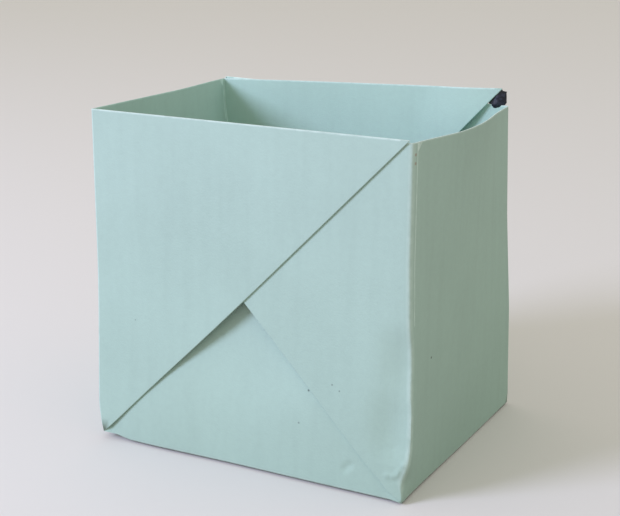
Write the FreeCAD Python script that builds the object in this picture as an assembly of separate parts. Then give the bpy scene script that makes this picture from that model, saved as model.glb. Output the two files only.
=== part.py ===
import FreeCAD, Part
import os

from FreeCAD import Matrix, Vector

# An open box folded from one sheet of stiff paper, in millimetres.
# The sheet is creased in thirds across its width, and each corner square is folded double on
# its diagonal into a triangular pleat. The front pair of pleats cross outside the front wall,
# and the back pair cross inside the back wall. The left pleat of each pair lies on top.
# X runs along the front wall, Y from the front wall to the back, Z up.
# The origin is on the floor, under the middle of the base.

# Driving sizes of the sheet and its folds
third = 70.0             # a third of the sheet's width: the base's width and every wall's height
base_depth = 55.0        # the base, front to back
paper = 0.15             # thickness of the sheet
ply_gap = 0.05           # air between two plies that lie on each other
crease_radius = 0.45     # middle radius of the folds at the base
tip_inset = 0.90         # how far a pleat's tip stops short of the next corner
rim_bow = 2.6            # how far the right wall's top edge bulges outwards
tip_rise = 2.0           # how far the back left pleat's tip stands above the walls
back_corner_drop = 1.4   # how far the back right corner sags below them

# Driving sizes of the dark dab that holds the back left pleat's tip to the back right corner
dab_size = Vector(3.9, 2.4, 4.2)
dab_inset = 2.0          # how far the dab's middle lies in from the right wall
dab_rise = 1.5           # how far it lies above the top of the corner
dab_nib = 0.6            # radius of the small pinched nib on the dab's top

# Places that follow from them, all on the middle of the paper
ply = paper + ply_gap
under_left_pleat = 2     # each left pleat lies over its right one's two plies
left_x = -third / 2
right_x = third / 2
front_y = -base_depth / 2
back_y = base_depth / 2
wall_foot = paper / 2 + crease_radius
rim = third
low_corner = rim - back_corner_drop

east = Vector(1, 0, 0)
north = Vector(0, 1, 0)
up = Vector(0, 0, 1)
west = east * -1
south = north * -1
down = up * -1


def plate(outline, across):
    """A flat panel of paper: its outline on the middle of the sheet, thickened both ways."""
    panel = Part.Face(Part.makePolygon(outline + outline[:1]))
    panel.translate(across * (-paper / 2))
    return panel.extrude(across * paper)


def bend(centre, first, middle, last, radius, run):
    """A rounded fold, as a strip of a paper tube from first, past middle, to last."""
    outer = radius + paper / 2
    inner = radius - paper / 2
    section = Part.Wire([
        Part.Arc(centre + first * outer, centre + middle * outer, centre + last * outer).toShape(),
        Part.LineSegment(centre + last * outer, centre + last * inner).toShape(),
        Part.Arc(centre + last * inner, centre + middle * inner, centre + first * inner).toShape(),
        Part.LineSegment(centre + first * inner, centre + first * outer).toShape(),
    ])
    return Part.Face(section).extrude(run)


def corner_bend(centre, first, last, radius, run):
    """A right-angled fold."""
    middle = first + last
    middle.normalize()
    return bend(centre, first, middle, last, radius, run)


def upright(height):
    """The run of a standing fold, from the walls' foot to height."""
    return up * (height - wall_foot)


def height_at(line, distance):
    """A line is its height at the pleat's corner and its slope."""
    return line[0] + line[1] * distance


def pleat_lines(corner_height, tip_height, width):
    """The diagonal crease and the raw top edge of a pleat, which meet at its tip."""
    start = paper + (ply + paper) / 2 ** 0.5
    crease = (start, (tip_height - start) / width)
    edge = (corner_height, (tip_height - corner_height) / width)
    return crease, edge


def pleat(foot, along, lines, width):
    """Both plies of a pleat and the fold that joins them.

    foot is on the floor under the back ply, and the front ply lies just south of it.
    """
    crease, edge = lines
    places = [(0, crease), (width, crease), (0, edge)]
    outline = [foot + along * distance + up * height_at(line, distance) for distance, line in places]
    back_ply = plate(outline, south)
    front_ply = back_ply.translated(south * ply)
    run = outline[1] - outline[0]
    away = along * crease[1] - up
    away.normalize()
    fold = bend(outline[0] + south * (ply / 2), north, away, south, ply / 2, run)
    return [back_ply, front_ply, fold]


def base():
    """The base and the rounded folds that lift the four walls from it."""
    x_low, x_high = left_x + crease_radius, right_x - crease_radius
    y_low, y_high = front_y + crease_radius, back_y - crease_radius
    corners = [
        Vector(x, y, paper / 2)
        for x, y in [(x_low, y_low), (x_high, y_low), (x_high, y_high), (x_low, y_high)]
    ]
    lift = up * crease_radius
    width = corners[1] - corners[0]
    left_depth = north * (back_end(under_left_pleat) - y_low)
    right_depth = north * (back_end(0) - y_low)
    return [
        plate(corners, up),
        corner_bend(corners[0] + lift, south, down, crease_radius, width),
        corner_bend(corners[3] + lift, north, down, crease_radius, width),
        corner_bend(corners[0] + lift, west, down, crease_radius, left_depth),
        corner_bend(corners[1] + lift, east, down, crease_radius, right_depth),
    ]


def turn_radius(plies_under):
    """The radius of the fold that turns a wall back over plies_under other plies."""
    return ply * (plies_under + 1) / 2


def wrap_radius(plies_under):
    """The radius of the side wall's fold, which is one ply wider."""
    return turn_radius(plies_under) + ply


def front_end(plies_under):
    """Where a side wall ends at the front: it wraps round the front wall's fold."""
    return front_y - turn_radius(plies_under)


def back_end(plies_under):
    """Where a side wall ends at the back: it turns inside the back wall's fold."""
    return back_y - turn_radius(plies_under) - 2 * wrap_radius(plies_under)


def pleated_corner(wall_x, wall_y, side, plies_under, corner_height, tip_height):
    """A pleat on the south side of the front or back wall, and that wall's fold to it.

    side points from the pleat's tip to its corner. The wall's own paper folds back on itself
    round plies_under other plies.
    """
    turn, wrap = turn_radius(plies_under), wrap_radius(plies_under)
    centre = Vector(wall_x, wall_y - turn, wall_foot) - side * wrap
    foot = Vector(centre.x, wall_y - 2 * turn, 0)
    width = third - wrap - tip_inset
    lines = pleat_lines(corner_height, tip_height, width)
    wall_fold = bend(centre, north, side, south, turn, upright(corner_height))
    return pleat(foot, side * -1, lines, width) + [wall_fold]


def side_fold(wall_x, wall_end, side, towards, plies_under, height):
    """The fold from the end of a side wall to its pleat, which lies towards north or south."""
    wrap = wrap_radius(plies_under)
    centre = Vector(wall_x, wall_end, wall_foot) - side * wrap
    return corner_bend(centre, side, towards, wrap, upright(height))


def front_corner(wall_x, side, plies_under):
    """A front corner, whose side wall wraps round the outside to the pleat."""
    shapes = pleated_corner(wall_x, front_y, side, plies_under, rim, rim)
    return shapes + [side_fold(wall_x, front_end(plies_under), side, south, plies_under, rim)]


def back_corner(wall_x, side, plies_under, corner_height, tip_height):
    """A back corner, whose side wall turns along the inside to the pleat."""
    shapes = pleated_corner(wall_x, back_y, side, plies_under, corner_height, tip_height)
    return shapes + [side_fold(wall_x, back_end(plies_under), side, north, plies_under, corner_height)]


def cross_wall(wall_y, right_height):
    """The front or back wall's own ply, between its two corners' folds."""
    x_low, x_high = left_x + wrap_radius(under_left_pleat), right_x - wrap_radius(0)
    outline = [
        Vector(x_low, wall_y, wall_foot), Vector(x_high, wall_y, wall_foot),
        Vector(x_high, wall_y, right_height), Vector(x_low, wall_y, rim),
    ]
    return plate(outline, north)


def left_wall():
    """A plain upright panel."""
    y_low, y_high = front_end(under_left_pleat), back_end(under_left_pleat)
    outline = [
        Vector(left_x, y_low, wall_foot), Vector(left_x, y_high, wall_foot),
        Vector(left_x, y_high, rim), Vector(left_x, y_low, rim),
    ]
    return plate(outline, east)


def bowed_edge(start, end, bow):
    """An edge that leaves both corners straight and bulges by bow half way."""
    middle = (start + end) / 2 + east * bow
    curve = Part.BSplineCurve()
    curve.interpolate(Points=[start, middle, end], InitialTangent=end - start, FinalTangent=end - start)
    return curve.toShape()


def right_wall():
    """A single ply, straight at its foot and bowed outwards along its sagging top edge."""
    y_low, y_high = front_end(0), back_end(0)
    foot_ends = [Vector(right_x, y_low, wall_foot), Vector(right_x, y_high, wall_foot)]
    rim_ends = [Vector(right_x, y_low, rim), Vector(right_x, y_high, low_corner)]
    sections = []
    for ends, bow in [(foot_ends, 0), (rim_ends, rim_bow)]:
        inside = [end + west * (paper / 2) for end in ends]
        outside = [end + east * (paper / 2) for end in ends]
        sections.append(Part.Wire([
            bowed_edge(inside[0], inside[1], bow),
            Part.LineSegment(inside[1], outside[1]).toShape(),
            bowed_edge(outside[0], outside[1], bow),
            Part.LineSegment(outside[0], inside[0]).toShape(),
        ]))
    return Part.makeLoft(sections, True, True)


def folded_sheet():
    """The whole box: one sheet, every panel joined to the next by its fold."""
    shapes = base() + [cross_wall(front_y, rim), cross_wall(back_y, low_corner)]
    shapes += [left_wall(), right_wall()]
    shapes += front_corner(left_x, west, under_left_pleat)
    shapes += front_corner(right_x, east, 0)
    shapes += back_corner(left_x, west, under_left_pleat, rim, rim + tip_rise)
    shapes += back_corner(right_x, east, 0, low_corner, rim)
    return shapes[0].multiFuse(shapes[1:]).removeSplitter()


def corner_dab(sheet):
    """A pinched lump that sits on the corner's top edges, behind the tip that it holds."""
    tip_back = back_y - turn_radius(under_left_pleat) * 2 + paper / 2
    middle = Vector(right_x - dab_inset, tip_back + dab_size.y / 2, low_corner + dab_rise)
    squash = Matrix()
    squash.scale(dab_size / 2)
    lump = Part.makeSphere(1).transformGeometry(squash)
    nib = Part.makeSphere(dab_nib, Vector(dab_nib, 0, dab_size.z / 2 - dab_nib / 3))
    dab = lump.fuse(nib).removeSplitter()
    dab.translate(middle)
    seat_top = low_corner + paper / 2
    seat_corner = Vector(middle.x - dab_size.x / 2, tip_back, seat_top - dab_size.z)
    seat = Part.makeBox(dab_size.x, back_y + paper / 2 - tip_back, dab_size.z, seat_corner)
    return dab.cut(sheet).cut(seat)


os.makedirs("parts", exist_ok=True)
sheet = folded_sheet()
sheet.exportStep("parts/folded_sheet.step")
dab = corner_dab(sheet)
dab.exportStep("parts/corner_dab.step")
for name, shape in [("folded_sheet", sheet), ("corner_dab", dab)]:
    print(name, shape.ShapeType, len(shape.Solids), shape.isValid(), round(shape.Volume, 1), shape.BoundBox)
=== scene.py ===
import math

import bpy
from mathutils import Matrix, Vector


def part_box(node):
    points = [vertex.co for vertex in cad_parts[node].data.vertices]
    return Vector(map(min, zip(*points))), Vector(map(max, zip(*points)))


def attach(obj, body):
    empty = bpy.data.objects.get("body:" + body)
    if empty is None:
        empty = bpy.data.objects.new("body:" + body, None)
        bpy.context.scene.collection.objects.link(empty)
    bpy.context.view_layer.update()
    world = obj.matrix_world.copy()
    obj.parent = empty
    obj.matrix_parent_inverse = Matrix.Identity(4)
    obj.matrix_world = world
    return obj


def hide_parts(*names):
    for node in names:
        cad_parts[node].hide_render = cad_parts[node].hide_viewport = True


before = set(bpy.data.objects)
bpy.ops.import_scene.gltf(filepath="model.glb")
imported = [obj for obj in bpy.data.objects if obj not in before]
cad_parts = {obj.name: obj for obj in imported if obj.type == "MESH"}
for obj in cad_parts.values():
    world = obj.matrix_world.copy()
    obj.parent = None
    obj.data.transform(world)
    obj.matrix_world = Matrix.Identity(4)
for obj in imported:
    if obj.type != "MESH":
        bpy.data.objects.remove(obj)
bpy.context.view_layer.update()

# Lengths are in metres, written as millimetres times MM
MM = 0.001

# The sheet, as the solid has it
PAPER = 0.15 * MM          # thickness
PLY = 0.20 * MM            # from one ply to the next that lies on it
CREASE = 0.8 * MM          # radius of the folds at the base, which have opened a little
TIP_INSET = 0.9 * MM       # a pleat's tip stops this far short of the next corner
UNDER_LEFT_PLEAT = 2       # each left pleat lies over its right one's two plies

low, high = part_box("folded_sheet")
LEFT = low.x + PAPER / 2
RIGHT = -LEFT
FRONT = low.y + PAPER / 2 + 4 * PLY
BACK = -FRONT
RIM = RIGHT - LEFT         # the walls are as high as the base is wide
FLOOR = PAPER / 2
FOOT = FLOOR + CREASE

# How the folded paper has crept out of true.
# The back left pleat has turned: its tip stands above the walls, its corner has sunk, and it
# stops short of the right wall.
BACK_TIP = high.z + 0.3 * MM
BACK_LEFT_TOP = RIM - 0.4 * MM
BACK_TIP_INSET = 1.6 * MM
LOW_CORNER = RIM - 1.4 * MM    # the sagging back right corner
RIM_BOW = 2.9 * MM             # how far the right wall's top edge bulges outwards
BOW_SHARES = [(1, 0.75), (2, 0.95), (3, 0.45)]   # at the quarters of its length
FRONT_RISE = 0.5 * MM      # the front left pleat has slipped up by this much
SOFT_EDGE = 1.5 * MM       # radius of the soft fold between the front and the right wall

# How finely the paper is divided
ROWS = 40
COLUMNS = 40
DEPTH_COLUMNS = 32
FOLD_CUTS = 5
NEAR = 0.01 * MM           # points closer to a line than this lie on it
SMOOTH_ANGLE = math.radians(35)


def deselect_all():
    bpy.ops.object.select_all(action="DESELECT")


def activate(piece):
    deselect_all()
    piece.select_set(True)
    bpy.context.view_layer.objects.active = piece


def edit_mode():
    bpy.ops.object.mode_set(mode="EDIT")


def object_mode():
    bpy.ops.object.mode_set(mode="OBJECT")


def choose(piece, test, kind="VERT"):
    """Selects the points of the piece that pass the test, and leaves it in edit mode."""
    activate(piece)
    edit_mode()
    bpy.ops.mesh.select_mode(type="VERT")
    bpy.ops.mesh.select_all(action="DESELECT")
    object_mode()
    for point in piece.data.vertices:
        point.select = test(point.co)
    edit_mode()
    bpy.ops.mesh.select_mode(type=kind)


def mark(piece, name, test):
    """Names a border of a panel, so that it can be found again once the panels are joined."""
    group = piece.vertex_groups.new(name=name)
    group.add([point.index for point in piece.data.vertices if test(point.co)], 1.0, "REPLACE")


def flat_panel(name, centre, width, depth, columns, rows, turn=(0, 0, 0)):
    deselect_all()
    bpy.ops.mesh.primitive_grid_add(
        x_subdivisions=columns, y_subdivisions=rows, size=1, location=centre, rotation=turn
    )
    piece = bpy.context.object
    piece.name = name
    piece.scale = (width, depth, 1)
    bpy.ops.object.transform_apply(location=True, rotation=True, scale=True)
    return piece


def standing_panel(name, start, end, bottom, top, columns, rows=ROWS):
    """An upright panel over the line from start to end, with its borders named."""
    start, end = Vector(start), Vector(end)
    along = end - start
    middle = (start + end) / 2
    turn = (math.pi / 2, 0, math.atan2(along.y, along.x))
    centre = (middle.x, middle.y, (bottom + top) / 2)
    piece = flat_panel(name, centre, along.length, top - bottom, columns, rows, turn)
    direction = along.normalized()
    mark(piece, name, lambda co: True)
    mark(piece, name + ".start", lambda co: (co.xy - start).dot(direction) < NEAR)
    mark(piece, name + ".end", lambda co: (co.xy - end).dot(direction) > -NEAR)
    mark(piece, name + ".foot", lambda co: co.z < bottom + NEAR)
    return piece


def trim_below(piece, first, second, name):
    """Cuts a panel along the line from first to second, and takes away what is below it."""
    line = second - first
    across = Vector((line.y, -line.x, 0)).normalized()
    normal = line.cross(across).normalized()
    if normal.z < 0:
        normal = -normal
    choose(piece, lambda co: True)
    bpy.ops.mesh.bisect(plane_co=first, plane_no=normal, clear_inner=True, threshold=2 * NEAR)
    object_mode()
    mark(piece, name, lambda co: abs((co - first).dot(normal)) < 2 * NEAR)


def cage(piece, start, end, bottom, top, stations):
    """A lattice round an upright panel, with stations points along it and two up it."""
    start, end = Vector(start), Vector(end)
    along = end - start
    middle = (start + end) / 2
    deselect_all()
    bpy.ops.object.add(type="LATTICE", location=(middle.x, middle.y, (bottom + top) / 2))
    lattice = bpy.context.object
    lattice.rotation_euler = (0, 0, math.atan2(along.y, along.x))
    lattice.scale = (along.length, 10 * MM, top - bottom)
    lattice.data.points_u = stations
    lattice.data.points_v = 2
    lattice.data.points_w = 2
    lattice.data.interpolation_type_u = "KEY_CARDINAL" if stations > 2 else "KEY_LINEAR"
    lattice.data.interpolation_type_v = "KEY_LINEAR"
    lattice.data.interpolation_type_w = "KEY_LINEAR"
    modifier = piece.modifiers.new("cage", "LATTICE")
    modifier.object = lattice
    return lattice


def pull(lattice, station, level, move):
    """Moves one upright pair of the cage's points by a vector in the row frame."""
    bpy.context.view_layer.update()
    local = lattice.matrix_world.to_3x3().inverted() @ Vector(move)
    stations = lattice.data.points_u
    for side in (0, 1):
        point = lattice.data.points[station + stations * (side + 2 * level)]
        point.co_deform = point.co_deform + local


def settle(piece, lattice):
    activate(piece)
    bpy.ops.object.modifier_apply(modifier="cage")
    bpy.data.objects.remove(lattice)


def turn_radius(plies_under):
    """The radius of the fold that turns a wall back over plies_under other plies."""
    return PLY * (plies_under + 1) / 2


def wrap_radius(plies_under):
    """The radius of the side wall's fold, which is one ply wider."""
    return turn_radius(plies_under) + PLY


def front_end(plies_under):
    """Where a side wall ends at the front: it wraps round the front wall's fold."""
    return FRONT - turn_radius(plies_under)


def back_end(plies_under):
    """Where a side wall ends at the back: it turns inside the back wall's fold."""
    return BACK - turn_radius(plies_under) - 2 * wrap_radius(plies_under)


def make_base():
    width = RIGHT - LEFT - 2 * CREASE
    depth = BACK - FRONT - 2 * CREASE
    base = flat_panel("base", (0, 0, FLOOR), width, depth, COLUMNS, DEPTH_COLUMNS)
    mark(base, "base.front", lambda co: co.y < -depth / 2 + NEAR)
    mark(base, "base.back", lambda co: co.y > depth / 2 - NEAR)
    mark(base, "base.left", lambda co: co.x < -width / 2 + NEAR)
    mark(base, "base.right", lambda co: co.x > width / 2 - NEAR)
    return base


def raise_end(piece, start, end, bottom, top, rise):
    """Lifts the top of a panel's far end, so that its top edge climbs."""
    lattice = cage(piece, start, end, bottom, top, 2)
    pull(lattice, 1, 1, (0, 0, rise))
    settle(piece, lattice)


def make_pleat(name, start_x, tip_x, wall_y, plies_under, corner_top, tip_top):
    """The two plies of a pleat on the south side of a wall, cut along their crease."""
    bottom = PAPER + (PLY + PAPER) / math.sqrt(2)
    plies = []
    for place, ply in (("inner", plies_under + 1), ("outer", plies_under + 2)):
        y = wall_y - ply * PLY
        title = name + "_" + place
        piece = standing_panel(title, (start_x, y), (tip_x, y), bottom, corner_top, COLUMNS)
        raise_end(piece, (start_x, y), (tip_x, y), bottom, corner_top, tip_top - corner_top)
        first = Vector((start_x, y, bottom))
        second = Vector((tip_x, y, tip_top))
        trim_below(piece, first, second, title + ".crease")
        plies.append(piece)
    return plies


# Where the crossing plies and walls begin, in from the two side walls
LEFT_START = LEFT + wrap_radius(UNDER_LEFT_PLEAT)
RIGHT_START = RIGHT - wrap_radius(0)
SOFT_START = RIGHT - SOFT_EDGE
LEFT_TIP = RIGHT - TIP_INSET
RIGHT_TIP = LEFT + TIP_INSET


def make_pleats():
    pleats = make_pleat("front_left", LEFT_START, LEFT_TIP, FRONT, UNDER_LEFT_PLEAT,
                        RIM + FRONT_RISE, RIM + FRONT_RISE)
    pleats += make_pleat("front_right", SOFT_START, RIGHT_TIP, FRONT, 0, RIM, RIM)
    pleats += make_pleat("back_left", LEFT_START, RIGHT - BACK_TIP_INSET, BACK, UNDER_LEFT_PLEAT,
                         BACK_LEFT_TOP, BACK_TIP)
    pleats += make_pleat("back_right", RIGHT_START, RIGHT_TIP, BACK, 0, LOW_CORNER, RIM)
    return pleats


def make_cross_walls():
    """The front and back walls' own plies."""
    front = standing_panel("front_wall", (LEFT_START, FRONT), (SOFT_START, FRONT), FOOT, RIM, COLUMNS)
    back = standing_panel("back_wall", (LEFT_START, BACK), (RIGHT_START, BACK), FOOT, RIM, COLUMNS)
    raise_end(back, (LEFT_START, BACK), (RIGHT_START, BACK), FOOT, RIM, LOW_CORNER - RIM)
    return [front, back]


def make_left_wall():
    front = (LEFT, front_end(UNDER_LEFT_PLEAT))
    back = (LEFT, back_end(UNDER_LEFT_PLEAT))
    wall = standing_panel("left_wall", back, front, FOOT, BACK_LEFT_TOP, DEPTH_COLUMNS)
    raise_end(wall, back, front, FOOT, BACK_LEFT_TOP, RIM + FRONT_RISE - BACK_LEFT_TOP)
    return wall


def make_right_wall():
    """A single ply, bowed outwards along its sagging top edge."""
    front = (RIGHT, FRONT - 2 * PLY + SOFT_EDGE)
    back = (RIGHT, back_end(0))
    wall = standing_panel("right_wall", front, back, FOOT, RIM, DEPTH_COLUMNS)
    lattice = cage(wall, front, back, FOOT, RIM, 5)
    for station, share in BOW_SHARES:
        pull(lattice, station, 1, (RIM_BOW * share, 0, 0))
    for station in range(1, 5):
        pull(lattice, station, 1, (0, 0, (LOW_CORNER - RIM) * station / 4))
    settle(wall, lattice)
    return wall


def join(pieces, name):
    deselect_all()
    for piece in pieces:
        piece.select_set(True)
    bpy.context.view_layer.objects.active = pieces[0]
    bpy.ops.object.join()
    joined = bpy.context.object
    joined.name = name
    return joined


def on_border(sheet, point, names):
    """True for a point of a panel's own border: a fold's new points belong to it only in part."""
    return any(sheet.vertex_groups[g.group].name in names and g.weight > 0.999 for g in point.groups)


def fold(sheet, first, second):
    """Joins two named borders with a rounded strip."""
    choose(sheet, lambda co: False)
    object_mode()
    for point in sheet.data.vertices:
        point.select = on_border(sheet, point, (first, second))
    edit_mode()
    bpy.ops.mesh.select_mode(type="EDGE")
    bpy.ops.mesh.bridge_edge_loops(number_cuts=FOLD_CUTS, interpolation="SURFACE", smoothness=1.0)
    object_mode()


def fold_sheet():
    """The whole box, panel by panel, as one sheet with no thickness."""
    panels = [make_base(), make_left_wall(), make_right_wall()] + make_cross_walls() + make_pleats()
    sheet = join(panels, "folded_paper")
    borders = [
        ("base.front", "front_wall.foot"), ("base.back", "back_wall.foot"),
        ("base.left", "left_wall.foot"), ("base.right", "right_wall.foot"),
        ("left_wall.end", "front_left_outer.start"), ("left_wall.start", "back_left_outer.start"),
        ("right_wall.start", "front_right_outer.start"), ("right_wall.end", "back_right_outer.start"),
        ("front_wall.start", "front_left_inner.start"), ("front_wall.end", "front_right_inner.start"),
        ("back_wall.start", "back_left_inner.start"), ("back_wall.end", "back_right_inner.start"),
    ]
    for pleat in ("front_left", "front_right", "back_left", "back_right"):
        borders.append((pleat + "_inner.crease", pleat + "_outer.crease"))
    for first, second in borders:
        fold(sheet, first, second)
    return sheet


def gather(sheet, corner, reach):
    """Draws the ends of all the folds that meet at a corner of the base into one point."""
    corner = Vector(corner)
    choose(sheet, lambda co: (co - corner).length < reach)
    bpy.ops.mesh.merge(type="CENTER")
    object_mode()
    merged = next(point.co.copy() for point in sheet.data.vertices if point.select)
    edit_mode()
    bpy.ops.transform.translate(value=corner - merged)
    object_mode()


def gather_corners(sheet):
    """Each corner of the base is a point, where the creases of the flat sheet cross."""
    inset = 0.15 * MM
    reach = 2.0 * CREASE + 4 * PLY - inset
    left, right = LEFT + inset, RIGHT - inset
    gather(sheet, (left, FRONT - 3 * PLY, FLOOR), reach)
    gather(sheet, (right, FRONT - 2 * PLY + inset, FLOOR), reach)
    gather(sheet, (left, BACK - inset, FLOOR), reach)
    gather(sheet, (right, BACK - inset, FLOOR), reach)


def in_panels(piece, point, panels):
    """True for a point of the named panels, or of a fold at their borders."""
    return any(piece.vertex_groups[g.group].name in panels and g.weight > 0 for g in point.groups)


def push(piece, place, move, reach, panels=(), falloff="SMOOTH"):
    """Moves the paper at a place, and less and less of what lies round it, as far as reach.

    Where panels are named, only they take part.
    """
    place = Vector(place)
    choose(piece, lambda co: False)
    object_mode()
    free = {}
    for point in piece.data.vertices:
        if not panels or in_panels(piece, point, panels):
            free[point.index] = (point.co - place).length
        point.select = point.index not in free
    nearest = min(free, key=free.get)
    edit_mode()
    bpy.ops.mesh.hide()
    object_mode()
    piece.data.vertices[nearest].select = True
    edit_mode()
    bpy.ops.transform.translate(
        value=move, use_proportional_edit=True, use_proportional_connected=False,
        proportional_edit_falloff=falloff, proportional_size=reach,
    )
    bpy.ops.mesh.reveal(select=False)
    object_mode()


# How far the front's right edge bulges, by height
EDGE_BULGE = [
    (8 * MM, 0.9 * MM), (15 * MM, 0.95 * MM), (22 * MM, 0.75 * MM), (30 * MM, 0.5 * MM),
    (38 * MM, 0.2 * MM),
]

# A soft upright groove that runs beside that edge: its place across the front, and its heights
GROOVE_X = 33.4 * MM
GROOVE = [12 * MM, 18 * MM, 24 * MM, 30 * MM]

# The crumpled ridge by the front's lower right corner, and a small crescent dent beside it
RIDGE = [
    (35.0 * MM, 7.7 * MM), (34.2 * MM, 6.6 * MM), (33.9 * MM, 5.6 * MM), (32.9 * MM, 5.3 * MM),
    (32.0 * MM, 5.2 * MM),
]
CRESCENT = [(22.9 * MM, 4.5 * MM), (23.3 * MM, 5.2 * MM), (24.2 * MM, 5.6 * MM)]


# The front's own ply has sunk between the two pleats, most in the middle: place, move, reach
FRONT_HOLLOWS = [
    ((-1 * MM, FRONT, 34 * MM), (0, 2.1 * MM, 0), 26 * MM),
    ((-22 * MM, FRONT, 8 * MM), (0, -0.4 * MM, 0), 17 * MM),
]

# The front's face to the right of the crossing is the right pleat's outer ply
RIGHT_PLEAT_FACE = FRONT - 2 * PLY

# The back left pleat's crease stands off the wall below the dab: place and move
LIFTED_CREASE = (25 * MM, BACK - 4 * PLY, 63 * MM)
CREASE_LIFT = (-0.1 * MM, -1.3 * MM, -0.2 * MM)


def refine(sheet, place, reach):
    """Divides the paper more finely round a place, to take a small dent."""
    place = Vector(place)
    choose(sheet, lambda co: (co - place).length < reach, "FACE")
    bpy.ops.mesh.subdivide(number_cuts=3)
    object_mode()


def dent_front(sheet):
    """The front's lower corners are crumpled, and its own ply has sunk between the two pleats."""
    face = RIGHT_PLEAT_FACE
    for place, move, reach in FRONT_HOLLOWS:
        push(sheet, place, move, reach, panels=["front_wall"])
    push(sheet, (LEFT, FRONT, 0), (0.8 * MM, 0, 1.0 * MM), 7 * MM, falloff="LINEAR")
    for height, bulge in EDGE_BULGE:
        push(sheet, (RIGHT, face, height), (bulge, 0.3 * bulge, 0), 9 * MM)
    for height in GROOVE:
        push(sheet, (GROOVE_X, face, height), (0, 0.75 * MM, 0), 6 * MM)
    refine(sheet, (33 * MM, face, 5 * MM), 7 * MM)
    refine(sheet, (23.4 * MM, FRONT, 5 * MM), 4 * MM)
    push(sheet, (RIGHT, face, 4 * MM), (-0.7 * MM, 0.1 * MM, 0), 4 * MM)
    for x, height in RIDGE:
        push(sheet, (x, face, height), (0.05 * MM, -0.25 * MM, 0), 1.1 * MM, falloff="SHARP")
    for x, height in CRESCENT:
        push(sheet, (x, FRONT, height), (0, 0.15 * MM, 0), 1.2 * MM)


def lift_back_pleat(sheet):
    """Below the dab, the back left pleat's crease stands off the wall."""
    pleat = ["back_left_inner", "back_left_outer"]
    push(sheet, LIFTED_CREASE, CREASE_LIFT, 13 * MM, panels=pleat)


def settle_walls(sheet):
    """The walls lean and bulge as the folded paper has settled, and the base's edges have lifted."""
    push(sheet, (LEFT, BACK, RIM), (-1.9 * MM, -0.5 * MM, -0.1 * MM), 26 * MM)
    push(sheet, (RIGHT, BACK, RIM), (-1.5 * MM, -0.6 * MM, 0), 45 * MM, falloff="LINEAR")
    push(sheet, (RIGHT, BACK, 0), (0.7 * MM, 1.7 * MM, 0.3 * MM), 45 * MM, falloff="LINEAR")
    for x in (LEFT, 0, RIGHT):
        push(sheet, (x, FRONT, 0), (0, -1.5 * MM, 0.4 * MM), 40 * MM)


def store(sheet, name, values):
    """Stores a value for each point under a name that the materials read."""
    attribute = sheet.data.attributes.new(name, "FLOAT", "POINT")
    for item, value in zip(attribute.data, values):
        item.value = value


def mark_folds_and_edges(sheet):
    """Stores where the folds and the raw top edges are, for the pale marks on them: partly wear,
    partly a painted highlight.
    """
    folds = []
    creased = []
    for point in sheet.data.vertices:
        shares = {sheet.vertex_groups[g.group].name: g.weight for g in point.groups}
        share = max((shares[name] for name in shares if "." in name), default=0.0)
        folds.append(4 * share * (1 - share))
        creased.append(any(name.endswith(".crease") for name in shares))
    store(sheet, "fold", folds)
    choose(sheet, lambda co: False, "EDGE")
    bpy.ops.mesh.select_non_manifold()
    object_mode()
    raw = [
        1.0 if point.select and point.co.z > RIM / 2 and not crease else 0.0
        for point, crease in zip(sheet.data.vertices, creased)
    ]
    store(sheet, "raw_edge", raw)


def thicken(sheet):
    """Gives the sheet its thickness, with the cut edges as a second material."""
    activate(sheet)
    edit_mode()
    bpy.ops.mesh.select_all(action="SELECT")
    bpy.ops.mesh.remove_doubles(threshold=0.002 * MM)
    bpy.ops.mesh.normals_make_consistent(inside=False)
    object_mode()
    solidify = sheet.modifiers.new("thickness", "SOLIDIFY")
    solidify.thickness = PAPER
    solidify.offset = 0
    solidify.material_offset_rim = 1
    bpy.ops.object.modifier_apply(modifier="thickness")
    bpy.ops.object.shade_smooth_by_angle(angle=SMOOTH_ANGLE)
    flat = sheet.modifiers.new("flat_panels", "WEIGHTED_NORMAL")
    flat.keep_sharp = True
    bpy.ops.object.modifier_apply(modifier="flat_panels")


# The dab's middle and half its size along each axis, in millimetres
DAB_MIDDLE = Vector((31.0, 27.25, 69.85))
DAB_HALF = Vector((1.8, 1.1, 2.0))

# Where the dab has been pinched, in millimetres: place from its middle, move, reach, falloff
DAB_PINCHES = [
    ((1.3, 0, 1.2), (0.5, 0, 0.35), 0.9, "SHARP"),         # shoulder
    ((1.7, 0, -0.7), (0.25, 0, -0.1), 0.8, "SHARP"),       # elbow
    ((-0.6, 0, -1.9), (-0.2, 0, -0.2), 1.0, "SMOOTH"),     # heel
    ((-0.3, -0.7, -1.5), (0, -0.5, 0), 1.9, "SMOOTH"),     # lip over the corner's edges
    ((-1.6, 0, -0.8), (-0.5, 0, -0.1), 1.0, "SMOOTH"),     # cheek
    ((0.2, 0, 1.95), (0.1, 0, 0.3), 0.7, "ROOT"),          # nib
]


def make_dab():
    """A pinched lump that clasps the corner's top edges, behind the tip that it holds."""
    deselect_all()
    bpy.ops.mesh.primitive_ico_sphere_add(subdivisions=5, radius=1, location=DAB_MIDDLE * MM)
    dab = bpy.context.object
    dab.name = "dark_dab"
    dab.scale = DAB_HALF * MM
    bpy.ops.object.transform_apply(location=True, rotation=True, scale=True)
    for place, move, reach, falloff in DAB_PINCHES:
        place = DAB_MIDDLE + Vector(place)
        push(dab, place * MM, Vector(move) * MM, reach * MM, falloff=falloff)
    crumple = bpy.data.textures.new("crumple", "CLOUDS")
    crumple.noise_scale = 1.1 * MM
    crumple.noise_depth = 2
    rough = dab.modifiers.new("crumple", "DISPLACE")
    rough.texture = crumple
    rough.texture_coords = "LOCAL"
    rough.strength = 0.35 * MM
    rough.mid_level = 0.5
    activate(dab)
    bpy.ops.object.modifier_apply(modifier="crumple")
    bpy.ops.object.shade_smooth_by_angle(angle=SMOOTH_ANGLE)
    return dab


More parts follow.
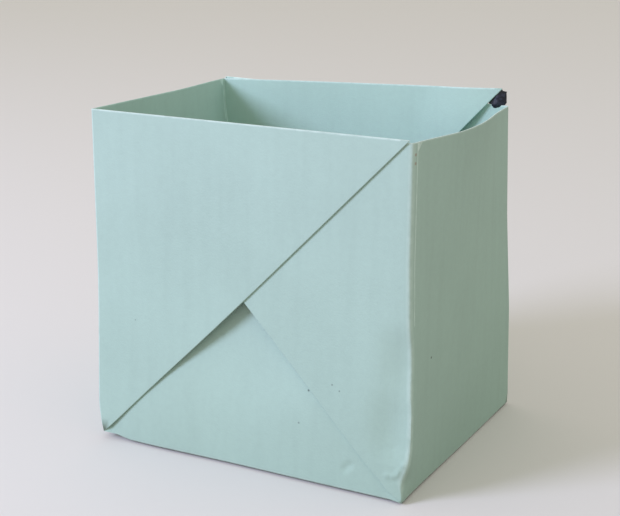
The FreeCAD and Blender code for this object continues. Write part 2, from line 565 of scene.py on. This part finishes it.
def make_material(name):
    material = bpy.data.materials.new(name)
    material.use_nodes = True
    material.node_tree.nodes.clear()
    return material


def add_node(tree, kind, **values):
    """A node with its settings, and its unlinked inputs by name."""
    node = tree.nodes.new(kind)
    for name, value in values.items():
        if name in node.inputs:
            node.inputs[name].default_value = value
        else:
            setattr(node, name, value)
    return node


def new_group(name, inputs, outputs):
    """An empty node group with named inputs, given as kind and default, and outputs."""
    tree = bpy.data.node_groups.new(name, "ShaderNodeTree")
    for title, (kind, value) in inputs.items():
        socket = tree.interface.new_socket(title, in_out="INPUT", socket_type=kind)
        socket.default_value = value
    for title, kind in outputs.items():
        tree.interface.new_socket(title, in_out="OUTPUT", socket_type=kind)
    return tree, add_node(tree, "NodeGroupInput"), add_node(tree, "NodeGroupOutput")


def link(tree, source, name, target, place):
    tree.links.new(source.outputs[name], target.inputs[place])


def noise(tree, place, scale, detail=4.0):
    """Cloudy noise over the object, with scale clouds to the metre."""
    node = add_node(tree, "ShaderNodeTexNoise", Scale=scale, Detail=detail)
    link(tree, place, "Object", node, "Vector")
    return node


def spread(tree, source, name, low_end, high_end, out_low=0.0, out_high=1.0):
    """Stretches the values between two ends to another range."""
    node = add_node(tree, "ShaderNodeMapRange")
    ends = {"From Min": low_end, "From Max": high_end, "To Min": out_low, "To Max": out_high}
    for title, value in ends.items():
        node.inputs[title].default_value = value
    link(tree, source, name, node, "Value")
    return node


def combined(tree, operation, first, second):
    """The sum or product of two outputs, each a node with its output's name."""
    node = add_node(tree, "ShaderNodeMath", operation=operation)
    for side, (source, name) in enumerate((first, second)):
        tree.links.new(source.outputs[name], node.inputs[side])
    return node


def added(tree, first, second):
    return combined(tree, "ADD", first, second)


def multiplied(tree, first, second):
    return combined(tree, "MULTIPLY", first, second)


def mixed(tree, factor, name, first, second):
    """A colour mix by a factor; each side is a colour or a node with its output's name."""
    node = add_node(tree, "ShaderNodeMix", data_type="RGBA")
    link(tree, factor, name, node, "Factor")
    for side, index in ((first, 6), (second, 7)):
        if isinstance(side[0], bpy.types.Node):
            tree.links.new(side[0].outputs[side[1]], node.inputs[index])
        else:
            node.inputs[index].default_value = side
    return node


def paper_fibre_group():
    """Mottled tone and a felted surface, for anything made of paper pulp."""
    inputs = {
        "Colour": ("NodeSocketColor", (0.5, 0.5, 0.5, 1)),
        "Shade": ("NodeSocketColor", (0.4, 0.4, 0.4, 1)),
    }
    outputs = {"Colour": "NodeSocketColor", "Height": "NodeSocketFloat"}
    tree, enter, leave = new_group("paper_fibre", inputs, outputs)
    place = add_node(tree, "ShaderNodeTexCoord")
    clouds = spread(tree, noise(tree, place, 38, 2.0), "Fac", 0.35, 0.65, 0.0, 0.45)
    flecks = spread(tree, noise(tree, place, 900), "Fac", 0.3, 0.7, 0.0, 0.3)
    upright = add_node(tree, "ShaderNodeMapping", Scale=(1, 1, 0.07))
    link(tree, place, "Object", upright, "Vector")
    smears = add_node(tree, "ShaderNodeTexNoise", Scale=420, Detail=3.0)
    link(tree, upright, "Vector", smears, "Vector")
    streaks = spread(tree, smears, "Fac", 0.45, 0.7, 0.0, 0.25)
    mottled = added(tree, (clouds, "Result"), (flecks, "Result"))
    total = added(tree, (mottled, "Value"), (streaks, "Result"))
    tone = mixed(tree, total, "Value", (enter, "Colour"), (enter, "Shade"))
    tree.links.new(tone.outputs[2], leave.inputs["Colour"])
    felt = noise(tree, place, 2600, 6.0)
    link(tree, felt, "Fac", leave, "Height")
    return tree


def wear_and_highlight_group():
    """Where a fold is pale, partly rubbed and partly a painted highlight on its rounded crease, and
    the pale raw top edge, partly burr and partly a painted highlight, both broken up by noise.
    """
    inputs = {"Fold": ("NodeSocketFloat", 0.5), "Edge": ("NodeSocketFloat", 0.5)}
    tree, enter, leave = new_group("paper_wear_and_highlight", inputs, {"Mask": "NodeSocketFloat"})
    place = add_node(tree, "ShaderNodeTexCoord")
    broken = spread(tree, noise(tree, place, 500), "Fac", 0.3, 0.6, 0.35, 1.0)
    masks = []
    for name, amount, begin in (("fold", "Fold", 0.3), ("raw_edge", "Edge", 0.8)):
        stored = add_node(tree, "ShaderNodeAttribute", attribute_name=name)
        near = spread(tree, stored, "Fac", begin, 1.0)
        scaled = multiplied(tree, (near, "Result"), (enter, amount))
        masks.append(multiplied(tree, (scaled, "Value"), (broken, "Result")))
    total = add_node(tree, "ShaderNodeMath", operation="MAXIMUM")
    tree.links.new(masks[0].outputs["Value"], total.inputs[0])
    tree.links.new(masks[1].outputs["Value"], total.inputs[1])
    link(tree, total, "Value", leave, "Mask")
    return tree


def speck_group():
    """A small round mark at a place on the object, in metres, that reaches deeper into the wall."""
    inputs = {
        "Place": ("NodeSocketVector", (0, 0, 0)),
        "Squash": ("NodeSocketVector", (1, 1, 1)),
        "Size": ("NodeSocketFloat", 0.001),
    }
    tree, enter, leave = new_group("speck", inputs, {"Mask": "NodeSocketFloat"})
    place = add_node(tree, "ShaderNodeTexCoord")
    gap = add_node(tree, "ShaderNodeVectorMath", operation="SUBTRACT")
    tree.links.new(place.outputs["Object"], gap.inputs[0])
    tree.links.new(enter.outputs["Place"], gap.inputs[1])
    squashed = add_node(tree, "ShaderNodeVectorMath", operation="MULTIPLY")
    tree.links.new(gap.outputs["Vector"], squashed.inputs[0])
    tree.links.new(enter.outputs["Squash"], squashed.inputs[1])
    away = add_node(tree, "ShaderNodeVectorMath", operation="LENGTH")
    link(tree, squashed, "Vector", away, 0)
    share = add_node(tree, "ShaderNodeMath", operation="DIVIDE")
    tree.links.new(away.outputs["Value"], share.inputs[0])
    tree.links.new(enter.outputs["Size"], share.inputs[1])
    soft = spread(tree, share, "Value", 0.4, 1.0, 1.0, 0.0)
    link(tree, soft, "Result", leave, "Mask")
    return tree


def add_group(tree, group, **values):
    node = tree.nodes.new("ShaderNodeGroup")
    node.node_tree = group
    for name, value in values.items():
        node.inputs[name].default_value = value
    return node


def start_surface(name, **values):
    """A material with its shader linked to the output."""
    material = make_material(name)
    tree = material.node_tree
    output = add_node(tree, "ShaderNodeOutputMaterial")
    surface = add_node(tree, "ShaderNodeBsdfPrincipled", **values)
    link(tree, surface, "BSDF", output, "Surface")
    return material, tree, surface


def roughen(tree, source, name, surface, distance):
    bump = add_node(tree, "ShaderNodeBump", Strength=0.6, Distance=distance)
    link(tree, source, name, bump, "Height")
    link(tree, bump, "Normal", surface, "Normal")


# Colours of the paper
PAPER_TOP = (0.475, 0.670, 0.600, 1)
# darker at the foot: painted shade
SHADED_PAPER_FOOT = (0.435, 0.630, 0.550, 1)
PAPER_SHADE = (0.90, 0.90, 0.90, 1)
# Pale on the folds and raw top edges: partly wear, partly a painted highlight where they catch the
# light
PALE_WEAR_AND_HIGHLIGHT = (0.72, 0.92, 0.86, 1)
CUT_EDGE = (0.78, 0.88, 0.84, 1)
CUT_EDGE_SHADE = (0.62, 0.76, 0.71, 1)
GREY_SPECK = (0.16, 0.22, 0.20, 1)
BROWN_SPECK = (0.42, 0.40, 0.34, 1)
DAB_DARK = (0.010, 0.012, 0.020, 1)
DAB_PALE = (0.030, 0.034, 0.055, 1)

# The paper darkens from this height down to its foot, a painted shade
SHADE_FADE_HEIGHT = 55 * MM

# Small marks on the front and on the right wall: place, radius, colour
FRONT_SPECKS = [
    ((14.3 * MM, FRONT, 19.3 * MM), 0.32 * MM, GREY_SPECK),
    ((19.6 * MM, FRONT, 21.6 * MM), 0.28 * MM, GREY_SPECK),
    ((21.2 * MM, FRONT, 20.6 * MM), 0.28 * MM, GREY_SPECK),
    ((12.5 * MM, FRONT, 12.4 * MM), 0.32 * MM, GREY_SPECK),
    ((-25.7 * MM, FRONT, 27.5 * MM), 0.25 * MM, GREY_SPECK),
]
RIGHT_SPECKS = [
    ((RIGHT, -18.0 * MM, 26.5 * MM), 0.35 * MM, GREY_SPECK),
    ((RIGHT, -27.0 * MM, 67.8 * MM), 0.40 * MM, BROWN_SPECK),
    ((RIGHT, -27.0 * MM, 66.2 * MM), 0.40 * MM, BROWN_SPECK),
]


def paper_material(fibre, wear_and_highlight, speck):
    material, tree, surface = start_surface("paper", Roughness=0.82)
    surface.inputs["Specular IOR Level"].default_value = 0.25
    place = add_node(tree, "ShaderNodeTexCoord")
    height = add_node(tree, "ShaderNodeSeparateXYZ")
    link(tree, place, "Object", height, "Vector")
    # Painted shade: the paper darkens towards its foot, fading out at the height above
    share = spread(tree, height, "Z", 0.0, SHADE_FADE_HEIGHT)
    tone = mixed(tree, share, "Result", SHADED_PAPER_FOOT, PAPER_TOP)
    shade = add_node(tree, "ShaderNodeMix", data_type="RGBA", blend_type="MULTIPLY")
    shade.inputs["Factor"].default_value = 1.0
    tree.links.new(tone.outputs[2], shade.inputs[6])
    shade.inputs[7].default_value = PAPER_SHADE
    pulp = add_group(tree, fibre)
    tree.links.new(tone.outputs[2], pulp.inputs["Colour"])
    tree.links.new(shade.outputs[2], pulp.inputs["Shade"])
    # Folds and raw top edges turn pale: partly wear, partly a painted highlight
    rubbed_and_lit = add_group(tree, wear_and_highlight, Fold=0.45, Edge=1.0)
    colour = mixed(tree, rubbed_and_lit, "Mask", (pulp, "Colour"), PALE_WEAR_AND_HIGHLIGHT)
    for specks, squash in ((FRONT_SPECKS, (1, 0.12, 1)), (RIGHT_SPECKS, (0.12, 1, 1))):
        for spot, radius, tint in specks:
            spotted = add_group(tree, speck, Place=spot, Squash=squash, Size=radius)
            colour = mixed(tree, spotted, "Mask", (colour, 2), tint)
    tree.links.new(colour.outputs[2], surface.inputs["Base Color"])
    roughen(tree, pulp, "Height", surface, 0.06 * MM)
    return material


def cut_edge_material(fibre):
    """The cut paper's edge is paler than its face, with loose fibres."""
    material, tree, surface = start_surface("cut_edge", Roughness=0.9)
    surface.inputs["Specular IOR Level"].default_value = 0.2
    pulp = add_group(tree, fibre, Colour=CUT_EDGE, Shade=CUT_EDGE_SHADE)
    tree.links.new(pulp.outputs["Colour"], surface.inputs["Base Color"])
    roughen(tree, pulp, "Height", surface, 0.1 * MM)
    return material


def dab_material():
    """Dark slate, slightly glossy, with a kneaded skin."""
    material, tree, surface = start_surface("dab", Roughness=0.55)
    surface.inputs["Specular IOR Level"].default_value = 0.4
    place = add_node(tree, "ShaderNodeTexCoord")
    kneaded = noise(tree, place, 1400, 5.0)
    tone = spread(tree, kneaded, "Fac", 0.35, 0.65)
    colour = mixed(tree, tone, "Result", DAB_DARK, DAB_PALE)
    tree.links.new(colour.outputs[2], surface.inputs["Base Color"])
    roughen(tree, kneaded, "Fac", surface, 0.2 * MM)
    return material


# The floor looks pale to the camera, and gives off the light of a wooden one
FLOOR_SEEN = (0.74, 0.73, 0.71, 1)
FLOOR_BOUNCE = (0.36, 0.31, 0.27, 1)


def make_floor():
    deselect_all()
    bpy.ops.mesh.primitive_plane_add(size=8, location=(0, 0, 0))
    floor = bpy.context.object
    floor.name = "floor"
    material = make_material("pale_floor")
    tree = material.node_tree
    output = add_node(tree, "ShaderNodeOutputMaterial")
    surface = add_node(tree, "ShaderNodeBsdfPrincipled", Roughness=0.9)
    seen = add_node(tree, "ShaderNodeLightPath")
    colour = add_node(tree, "ShaderNodeMix", data_type="RGBA")
    colour.inputs["A"].default_value = FLOOR_BOUNCE
    colour.inputs["B"].default_value = FLOOR_SEEN
    tree.links.new(seen.outputs["Is Camera Ray"], colour.inputs["Factor"])
    tree.links.new(colour.outputs["Result"], surface.inputs["Base Color"])
    tree.links.new(surface.outputs["BSDF"], output.inputs["Surface"])
    floor.data.materials.append(material)


# A cool window lamp to the left of the camera, and a warm even light from all round
LAMP_PLACE = (-0.50, -0.62, 0.42)
LAMP_TARGET = (0, 0, 0.035)
LAMP_SIZE = 0.34
LAMP_POWER = 6.5
LAMP_COLOUR = (0.70, 0.715, 1.0)
AROUND_COLOUR = (1.0, 0.966, 0.887, 1)
AROUND_STRENGTH = 0.73


def add_window_lamp():
    data = bpy.data.lights.new("window", "AREA")
    data.shape = "DISK"
    data.size = LAMP_SIZE
    data.energy = LAMP_POWER
    data.color = LAMP_COLOUR
    lamp = bpy.data.objects.new("window", data)
    bpy.context.collection.objects.link(lamp)
    lamp.location = LAMP_PLACE
    direction = Vector(LAMP_TARGET) - lamp.location
    lamp.rotation_euler = direction.to_track_quat("-Z", "Y").to_euler()


def light_scene():
    add_window_lamp()
    world = bpy.data.worlds.new("studio")
    world.use_nodes = True
    background = world.node_tree.nodes["Background"]
    background.inputs["Color"].default_value = AROUND_COLOUR
    background.inputs["Strength"].default_value = AROUND_STRENGTH
    bpy.context.scene.world = world


# The camera, fitted to the corners of the box in the photograph of 620 by 516 pixels
VIEW_AZIMUTH = math.radians(27.35)
VIEW_ELEVATION = math.radians(16.07)
VIEW_ROLL = math.radians(0.31)
VIEW_DISTANCE = 294.2 * MM
VIEW_ACROSS = 0.06 * MM
VIEW_UP = 35.56 * MM
LENS_PIXELS = 1328
FRAME_WIDTH = 620
SENSOR = 36.0


def place_camera():
    back = Vector((
        math.sin(VIEW_AZIMUTH) * math.cos(VIEW_ELEVATION),
        -math.cos(VIEW_AZIMUTH) * math.cos(VIEW_ELEVATION),
        math.sin(VIEW_ELEVATION),
    ))
    level_right = Vector((math.cos(VIEW_AZIMUTH), math.sin(VIEW_AZIMUTH), 0))
    level_up = back.cross(level_right)
    right = level_right * math.cos(VIEW_ROLL) + level_up * math.sin(VIEW_ROLL)
    upward = level_up * math.cos(VIEW_ROLL) - level_right * math.sin(VIEW_ROLL)
    data = bpy.data.cameras.new("camera")
    data.sensor_width = SENSOR
    data.lens = LENS_PIXELS * SENSOR / FRAME_WIDTH
    data.clip_start = 0.01
    camera = bpy.data.objects.new("camera", data)
    bpy.context.collection.objects.link(camera)
    turn = Matrix((right, upward, back)).transposed()
    camera.location = right * VIEW_ACROSS + upward * VIEW_UP + back * VIEW_DISTANCE
    camera.rotation_euler = turn.to_euler()
    bpy.context.scene.camera = camera


fibre = paper_fibre_group()

sheet = fold_sheet()
gather_corners(sheet)
mark_folds_and_edges(sheet)
dent_front(sheet)
lift_back_pleat(sheet)
settle_walls(sheet)
sheet.data.materials.append(paper_material(fibre, wear_and_highlight_group(), speck_group()))
sheet.data.materials.append(cut_edge_material(fibre))
thicken(sheet)
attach(sheet, "root")
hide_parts("folded_sheet")

dab = make_dab()
dab.data.materials.append(dab_material())
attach(dab, "root")
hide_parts("corner_dab")

make_floor()
light_scene()
place_camera()
bpy.context.scene.view_settings.view_transform = "Standard"
